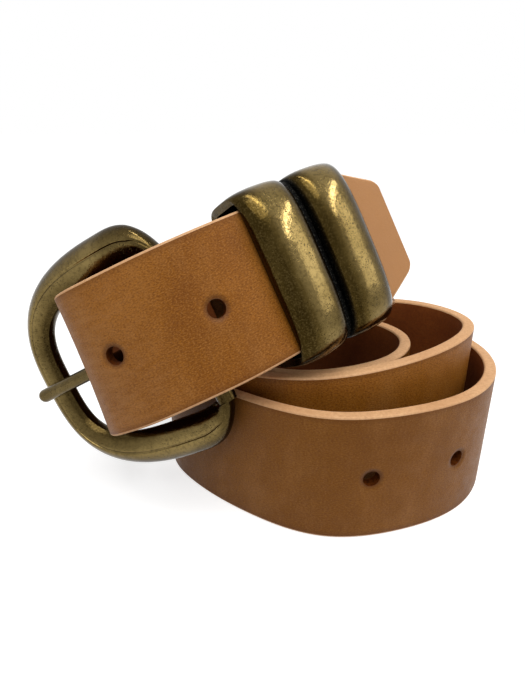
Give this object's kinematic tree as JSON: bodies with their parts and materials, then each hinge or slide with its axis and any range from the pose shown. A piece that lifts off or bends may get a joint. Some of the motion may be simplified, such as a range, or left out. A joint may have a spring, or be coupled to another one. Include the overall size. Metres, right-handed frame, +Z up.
{
  "type": "leather belt",
  "caption": "Leather belt fastened on itself with a horseshoe buckle and a double-ribbed metal keeper, coiled into turns that stand on edge.",
  "frame": {"origin": "centre of the belt's box, on the surface that the coil stands on", "axes": "+X along the fastened length from the buckle towards the tip, +Y away from the buckle's front, +Z up"},
  "size_m": [0.1408, 0.0836, 0.0953],
  "materials": {
    "leather": "satin vegetable-tanned grain with pale cut edges",
    "buckle_brass": "antiqued, worn bright on the high parts",
    "keeper_brass": "antiqued, polished ribs with a blackened groove",
    "post_brass": "antiqued satin"
  },
  "bodies": {
    "strap": {"strap": "leather", "post_upper": "post_brass", "post_lower": "post_brass", "screw_upper": "post_brass", "screw_lower": "post_brass"},
    "frame": {"buckle_frame": "buckle_brass"},
    "prong": {"prong": "buckle_brass"},
    "keeper": {"keeper": "keeper_brass"}
  },
  "joints": [
    {"name": "frame_hinge", "type": "hinge", "parent": "strap", "child": "frame", "pos_m": [-0.02067, -0.02371, 0.0578], "axis": [-0.4182, 0.2302, 0.8787], "range_deg": [-1.5, 1.5]},
    {"name": "prong_hinge", "type": "hinge", "parent": "frame", "child": "prong", "pos_m": [-0.02067, -0.02371, 0.0578], "axis": [-0.4182, 0.2302, 0.8787], "range_deg": [0, 1.5]},
    {"name": "keeper_slide", "type": "slide", "parent": "strap", "child": "keeper", "axis": [0.7755, 0.5986, 0.2005], "range_m": [0, 0.0025]}
  ]
}
